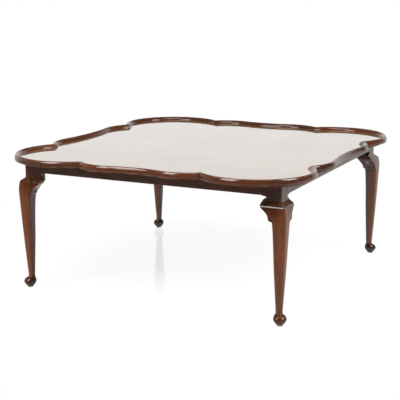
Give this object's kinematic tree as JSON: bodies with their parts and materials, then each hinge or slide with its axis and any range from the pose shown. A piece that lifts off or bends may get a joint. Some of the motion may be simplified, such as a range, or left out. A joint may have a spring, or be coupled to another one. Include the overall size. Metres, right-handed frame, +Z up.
{
  "type": "coffee table",
  "caption": "Low tray-top table: scalloped raised rim round a polished field, slim aprons, cabriole legs with scrolled knee brackets and pad feet.",
  "frame": {"origin": "on the floor, under the middle of the table", "axes": "+Z up; the front is at -Y and the right side at +X"},
  "size_m": [0.987, 1.0294, 0.432],
  "materials": {
    "frame_wood": "polished dark red-brown lacquer",
    "rim_wood": "polished red-brown lacquer",
    "field_veneer": "mirror-polished lacquer over veneer",
    "plain_wood": "unfinished pale hardwood",
    "plated_steel": "zinc plated"
  },
  "bodies": {
    "root": {"apron_back": "frame_wood", "apron_front": "frame_wood", "apron_left": "frame_wood", "apron_right": "frame_wood", "bolt_nut_back_left": "plated_steel", "bolt_nut_back_right": "plated_steel", "bolt_nut_front_left": "plated_steel", "bolt_nut_front_right": "plated_steel", "button_screw_back_1": "plated_steel", "button_screw_back_2": "plated_steel", "button_screw_front_1": "plated_steel", "button_screw_front_2": "plated_steel", "button_screw_left_1": "plated_steel", "button_screw_left_2": "plated_steel", "button_screw_right_1": "plated_steel", "button_screw_right_2": "plated_steel", "corner_brace_back_left": "plain_wood", "corner_brace_back_right": "plain_wood", "corner_brace_front_left": "plain_wood", "corner_brace_front_right": "plain_wood", "field_panel": "field_veneer", "glide_back_left": "plated_steel", "glide_back_right": "plated_steel", "glide_front_left": "plated_steel", "glide_front_right": "plated_steel", "hanger_bolt_back_left": "plated_steel", "hanger_bolt_back_right": "plated_steel", "hanger_bolt_front_left": "plated_steel", "hanger_bolt_front_right": "plated_steel", "knee_bracket_back_left_back": "frame_wood", "knee_bracket_back_left_left": "frame_wood", "knee_bracket_back_right_back": "frame_wood", "knee_bracket_back_right_right": "frame_wood", "knee_bracket_front_left_front": "frame_wood", "knee_bracket_front_left_left": "frame_wood", "knee_bracket_front_right_front": "frame_wood", "knee_bracket_front_right_right": "frame_wood", "leg_back_left": "frame_wood", "leg_back_right": "frame_wood", "leg_front_left": "frame_wood", "leg_front_right": "frame_wood", "rim_corner_back_left": "rim_wood", "rim_corner_back_right": "rim_wood", "rim_corner_front_left": "rim_wood", "rim_corner_front_right": "rim_wood", "rim_side_back": "rim_wood", "rim_side_front": "rim_wood", "rim_side_left": "rim_wood", "rim_side_right": "rim_wood", "table_button_back_1": "plain_wood", "table_button_back_2": "plain_wood", "table_button_front_1": "plain_wood", "table_button_front_2": "plain_wood", "table_button_left_1": "plain_wood", "table_button_left_2": "plain_wood", "table_button_right_1": "plain_wood", "table_button_right_2": "plain_wood"}
  },
  "joints": []
}
